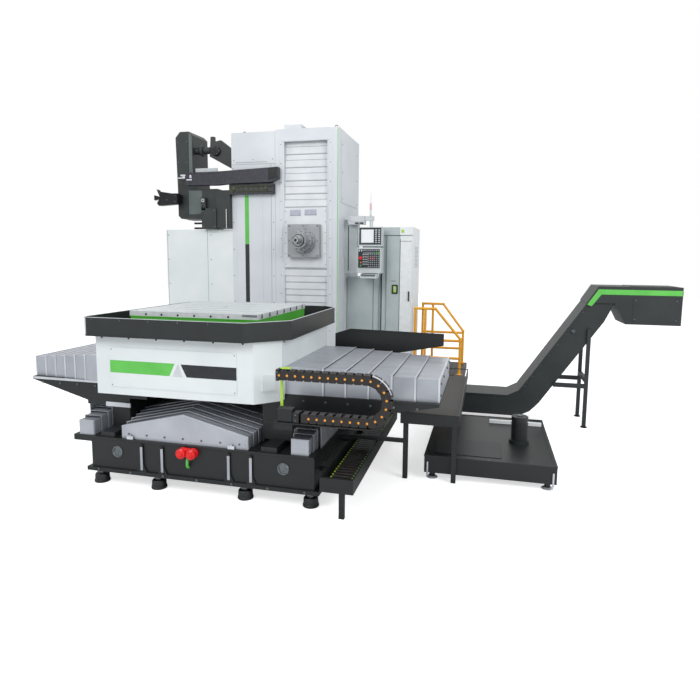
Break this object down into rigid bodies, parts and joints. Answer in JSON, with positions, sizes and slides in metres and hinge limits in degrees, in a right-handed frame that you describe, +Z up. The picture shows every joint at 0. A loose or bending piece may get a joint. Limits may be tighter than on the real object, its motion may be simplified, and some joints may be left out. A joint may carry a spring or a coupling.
{
  "type": "table-type horizontal boring mill",
  "caption": "Horizontal boring mill with a travelling rotary table, telescopic way covers, fixed column, tool changer, pendant and chip conveyor.",
  "frame": {"origin": "on the floor, under the middle of the whole machine's bounding box", "axes": "+X along the table travel to the right, which is the longest extent, +Y along the bed to the column, +Z up"},
  "size_m": [7.82, 5.41, 4.38],
  "materials": {
    "cast_black": "machine paint, near black",
    "dark_sheet": "dark grey sheet",
    "white_sheet": "white gloss paint",
    "column_paint": "pale grey-white gloss paint",
    "cover_steel": "satin sheet steel",
    "ground_iron": "ground cast iron",
    "table_green": "green paint with a ground top",
    "spindle_steel": "ground steel",
    "red_cap": "red plastic",
    "rail_yellow": "yellow gloss paint",
    "cabinet_grey": "grey-green paint",
    "pendant_grey": "light grey paint",
    "chain_plastic": "black-brown plastic"
  },
  "bodies": {
    "machine": {"bed": "cast_black", "levelling_feet": "dark_sheet", "bed_slideways": "ground_iron", "front_fittings": "red_cap", "side_chain_trough": "dark_sheet", "way_cover_fixed": "cover_steel", "column": "column_paint", "column_left_cover": "column_paint", "column_shutter_fixed": "column_paint", "changer_tower": "dark_sheet", "changer_gearbox": "dark_sheet", "changer_beam": "dark_sheet", "changer_gripper": "dark_sheet", "changer_bracket": "dark_sheet", "sheet_guard": "white_sheet", "pendant_arm": "pendant_grey", "cabinet": "cabinet_grey", "operator_platform": "dark_sheet", "platform_rail_front": "rail_yellow", "platform_rail_rear": "rail_yellow", "side_chip_tray": "dark_sheet", "conveyor_channel": "dark_sheet", "conveyor_head": "dark_sheet", "conveyor_legs": "dark_sheet", "coolant_tank": "dark_sheet", "coolant_pump": "dark_sheet"},
    "way_cover_1": {"way_cover_1": "cover_steel"},
    "table_cover_1": {"table_cover_1": "cover_steel"},
    "shutter_1": {"shutter_1": "column_paint"},
    "way_cover_2": {"way_cover_2": "cover_steel"},
    "table_cover_2": {"table_cover_2": "cover_steel"},
    "shutter_2": {"shutter_2": "column_paint"},
    "way_cover_3": {"way_cover_3": "cover_steel"},
    "table_cover_3": {"table_cover_3": "cover_steel"},
    "shutter_3": {"shutter_3": "column_paint"},
    "way_cover_4": {"way_cover_4": "cover_steel"},
    "table_cover_4": {"table_cover_4": "cover_steel"},
    "shutter_4": {"shutter_4": "column_paint"},
    "saddle": {"saddle": "cast_black", "saddle_splash_guard": "dark_sheet", "saddle_cover_ends": "cover_steel", "saddle_chain_tray": "dark_sheet", "saddle_way_covers": "cover_steel", "table_chain": "chain_plastic"},
    "table_base": {"table_base_housing": "white_sheet", "table_base_panel": "white_sheet", "table_base_covers": "cover_steel", "chip_tray": "dark_sheet"},
    "rotary_table": {"rotary_table": "table_green"},
    "headstock": {"headstock": "column_paint", "headstock_shutter": "column_paint", "spindle_housing": "spindle_steel"},
    "quill": {"quill": "spindle_steel"},
    "boring_spindle": {"boring_spindle": "spindle_steel"},
    "operator_pendant": {"operator_pendant": "pendant_grey"},
    "cabinet_door": {"cabinet_door": "cabinet_grey"}
  },
  "joints": [
    {"name": "saddle_travel", "type": "slide", "parent": "machine", "child": "saddle", "axis": [0, 1, 0], "range_m": [-0.1, 1.4]},
    {"name": "way_cover_1_slide", "type": "slide", "parent": "machine", "child": "way_cover_1", "axis": [0, 1, 0], "range_m": [-0.02, 0.28]},
    {"name": "way_cover_2_slide", "type": "slide", "parent": "machine", "child": "way_cover_2", "axis": [0, 1, 0], "range_m": [-0.04, 0.56]},
    {"name": "way_cover_3_slide", "type": "slide", "parent": "machine", "child": "way_cover_3", "axis": [0, 1, 0], "range_m": [-0.06, 0.84]},
    {"name": "way_cover_4_slide", "type": "slide", "parent": "machine", "child": "way_cover_4", "axis": [0, 1, 0], "range_m": [-0.08, 1.12]},
    {"name": "table_travel", "type": "slide", "parent": "saddle", "child": "table_base", "axis": [1, 0, 0], "range_m": [-0.65, 0.93]},
    {"name": "table_cover_1_slide", "type": "slide", "parent": "saddle", "child": "table_cover_1", "axis": [1, 0, 0], "range_m": [-0.13, 0.186]},
    {"name": "table_cover_2_slide", "type": "slide", "parent": "saddle", "child": "table_cover_2", "axis": [1, 0, 0], "range_m": [-0.26, 0.372]},
    {"name": "table_cover_3_slide", "type": "slide", "parent": "saddle", "child": "table_cover_3", "axis": [1, 0, 0], "range_m": [-0.39, 0.558]},
    {"name": "table_cover_4_slide", "type": "slide", "parent": "saddle", "child": "table_cover_4", "axis": [1, 0, 0], "range_m": [-0.52, 0.744]},
    {"name": "table_turn", "type": "hinge", "parent": "table_base", "child": "rotary_table", "pos_m": [-1.42, -1.67, 1.7], "axis": [0, 0, 1], "continuous": true},
    {"name": "headstock_travel", "type": "slide", "parent": "machine", "child": "headstock", "axis": [0, 0, 1], "range_m": [-0.55, 0.6]},
    {"name": "shutter_1_slide", "type": "slide", "parent": "machine", "child": "shutter_1", "axis": [0, 0, 1], "range_m": [-0.11, 0.12]},
    {"name": "shutter_2_slide", "type": "slide", "parent": "machine", "child": "shutter_2", "axis": [0, 0, 1], "range_m": [-0.22, 0.24]},
    {"name": "shutter_3_slide", "type": "slide", "parent": "machine", "child": "shutter_3", "axis": [0, 0, 1], "range_m": [-0.33, 0.36]},
    {"name": "shutter_4_slide", "type": "slide", "parent": "machine", "child": "shutter_4", "axis": [0, 0, 1], "range_m": [-0.44, 0.48]},
    {"name": "quill_feed", "type": "slide", "parent": "headstock", "child": "quill", "axis": [0, -1, 0], "range_m": [0, 0.5]},
    {"name": "spindle_spin", "type": "hinge", "parent": "quill", "child": "boring_spindle", "pos_m": [-1.39, 0.955, 2.6], "axis": [0, 1, 0], "continuous": true},
    {"name": "pendant_swivel", "type": "hinge", "parent": "machine", "child": "operator_pendant", "pos_m": [-0.41, 1.38, 2.83], "axis": [0, 0, 1], "range_deg": [-30, 30]},
    {"name": "cabinet_door_hinge", "type": "hinge", "parent": "machine", "child": "cabinet_door", "pos_m": [0.215, 1.573, 1.6], "axis": [0, 0, 1], "range_deg": [0, 100]}
  ],
  "couplings": [
    {"joint": "way_cover_1_slide", "follows": "saddle_travel", "ratio": 0.2},
    {"joint": "way_cover_2_slide", "follows": "saddle_travel", "ratio": 0.4},
    {"joint": "way_cover_3_slide", "follows": "saddle_travel", "ratio": 0.6},
    {"joint": "way_cover_4_slide", "follows": "saddle_travel", "ratio": 0.8},
    {"joint": "table_cover_1_slide", "follows": "table_travel", "ratio": 0.2},
    {"joint": "table_cover_2_slide", "follows": "table_travel", "ratio": 0.4},
    {"joint": "table_cover_3_slide", "follows": "table_travel", "ratio": 0.6},
    {"joint": "table_cover_4_slide", "follows": "table_travel", "ratio": 0.8},
    {"joint": "shutter_1_slide", "follows": "headstock_travel", "ratio": 0.2},
    {"joint": "shutter_2_slide", "follows": "headstock_travel", "ratio": 0.4},
    {"joint": "shutter_3_slide", "follows": "headstock_travel", "ratio": 0.6},
    {"joint": "shutter_4_slide", "follows": "headstock_travel", "ratio": 0.8}
  ]
}
